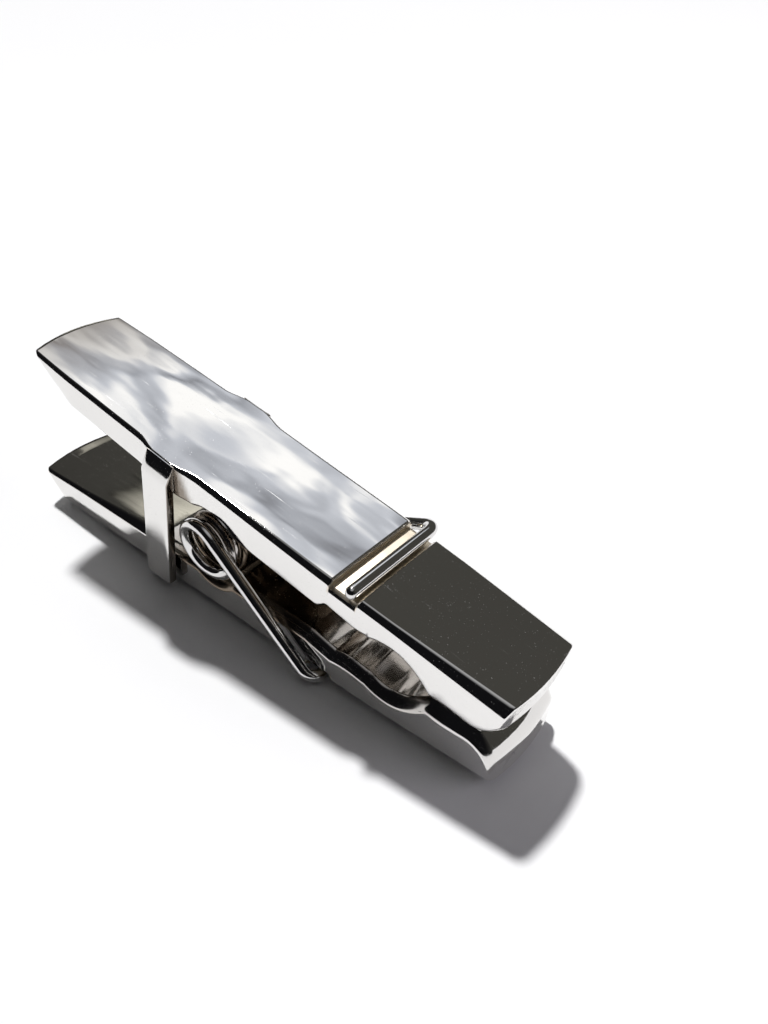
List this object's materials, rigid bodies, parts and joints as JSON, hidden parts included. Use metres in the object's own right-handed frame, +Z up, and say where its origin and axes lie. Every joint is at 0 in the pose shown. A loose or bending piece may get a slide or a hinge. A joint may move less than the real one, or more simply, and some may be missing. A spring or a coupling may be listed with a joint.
{
  "type": "money clip",
  "caption": "Spring money clip in the shape of a clothespin: polished levers rocking on the coil of a wire spring, with jaws and a rounded recess for folded notes",
  "frame": {"origin": "centre of the clip's footprint, on the surface it stands on", "axes": "+X from the handles to the jaws, +Y across the clip, +Z up from the level lower lever"},
  "size_m": [0.0779, 0.0174, 0.0246],
  "materials": {
    "lever_metal": "mirror polished plated metal",
    "cheek_metal": "mirror polished plated metal",
    "spring_wire": "polished plated spring steel"
  },
  "bodies": {
    "lower_half": {"lower_lever": "lever_metal", "spring_coil_leg": "spring_wire"},
    "upper_half": {"upper_lever": "lever_metal", "cheek_near": "cheek_metal", "cheek_far": "cheek_metal", "spring_upper_leg": "spring_wire"}
  },
  "joints": [
    {"name": "jaw_hinge", "type": "hinge", "parent": "lower_half", "child": "upper_half", "pos_m": [-0.0025, 0, 0.0102], "axis": [0, -1, 0], "range_deg": [0, 27], "stiffness_Nm_per_rad": 0.2, "springref_deg": -60.16}
  ]
}
